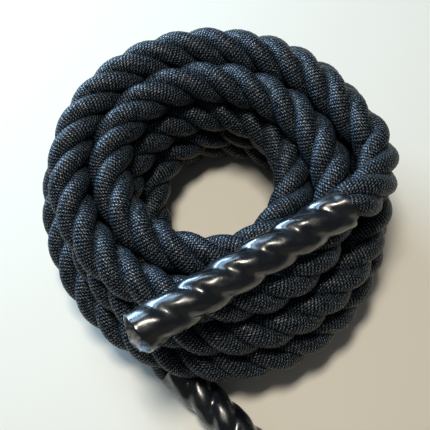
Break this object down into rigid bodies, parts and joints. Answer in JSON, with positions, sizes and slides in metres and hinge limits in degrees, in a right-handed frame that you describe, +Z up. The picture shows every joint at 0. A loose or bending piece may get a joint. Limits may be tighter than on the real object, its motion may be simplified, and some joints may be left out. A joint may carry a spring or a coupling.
{
  "type": "battle rope",
  "caption": "Thick black three-strand battle rope wound in a round coil, with a black shrink sleeve grip on each end, one on the coil and one on the floor.",
  "frame": {"origin": "on the floor, under the middle of the whole object's box", "axes": "+Z up; +Y from the floor grip's end towards the coil; +X to the right in the picture"},
  "size_m": [0.346, 0.5036, 0.1871],
  "materials": {
    "black_braid": "matt braided polyester",
    "pale_fibre": "raw fibre",
    "black_shrink_sleeve": "glossy heat-shrink"
  },
  "bodies": {
    "coil": {"rope_coil": "black_braid", "top_lead": "black_braid", "floor_lead": "black_braid"},
    "top_grip": {"top_grip_sleeve": "black_shrink_sleeve", "top_strand_jacket_1": "black_braid", "top_strand_core_1": "pale_fibre", "top_strand_jacket_2": "black_braid", "top_strand_core_2": "pale_fibre", "top_strand_jacket_3": "black_braid", "top_strand_core_3": "pale_fibre"},
    "floor_grip": {"floor_grip_sleeve": "black_shrink_sleeve", "floor_strand_jacket_1": "black_braid", "floor_strand_core_1": "pale_fibre", "floor_strand_jacket_2": "black_braid", "floor_strand_core_2": "pale_fibre", "floor_strand_jacket_3": "black_braid", "floor_strand_core_3": "pale_fibre"}
  },
  "joints": [
    {"name": "top_grip_lift", "type": "hinge", "parent": "coil", "child": "top_grip", "pos_m": [0.11816, 0.0278, 0.168], "axis": [-0.5284, 0.849, 0], "range_deg": [0, 60], "deforming": ["top_lead"]},
    {"name": "floor_grip_swing", "type": "hinge", "parent": "coil", "child": "floor_grip", "pos_m": [-0.04572, -0.08241, 0.01835], "axis": [0, 0, -1], "range_deg": [-12, 40], "deforming": ["floor_lead"]}
  ]
}
